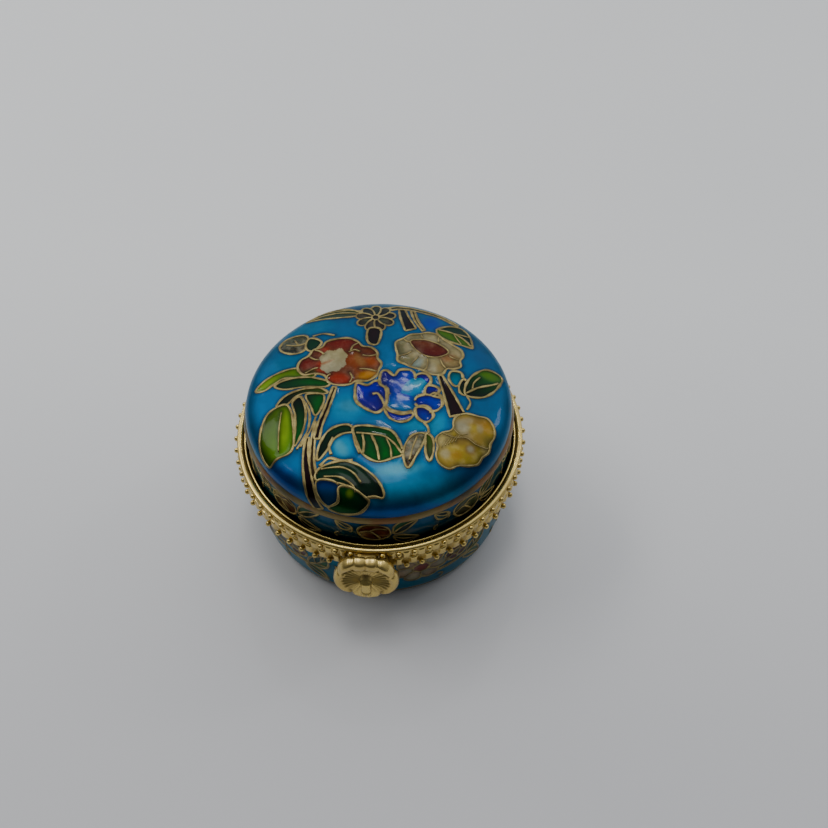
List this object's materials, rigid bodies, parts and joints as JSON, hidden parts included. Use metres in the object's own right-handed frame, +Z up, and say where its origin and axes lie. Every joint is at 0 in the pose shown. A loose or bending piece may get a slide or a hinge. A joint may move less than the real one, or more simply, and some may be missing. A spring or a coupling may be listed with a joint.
{
  "type": "cloisonne enamel box",
  "caption": "Small round box in turquoise cloisonné enamel, with a domed hinged lid, beaded gilt mouth rings and a flower clasp.",
  "frame": {"origin": "centre of the flat underside, on the axis of the round body", "axes": "+Z up through the lid, -Y towards the flower clasp, +Y towards the hinge, X along the hinge pin"},
  "size_m": [0.05, 0.0553, 0.03],
  "materials": {
    "enamel": "glossy translucent turquoise cloisonné enamel over copper, with gilt wires and coloured cells",
    "gilt_brass": "polished gilt brass, darkened in the recesses"
  },
  "bodies": {
    "base": {"base_bowl": "enamel", "base_rim": "gilt_brass", "hinge_base": "gilt_brass", "hinge_pin": "gilt_brass"},
    "lid": {"lid_dome": "enamel", "lid_rim": "gilt_brass", "hinge_lid": "gilt_brass", "clasp_flower": "gilt_brass"}
  },
  "joints": [
    {"name": "lid_hinge", "type": "hinge", "parent": "base", "child": "lid", "pos_m": [0, 0.0265, 0.0166], "axis": [-1, 0, 0], "range_deg": [0, 100]}
  ]
}
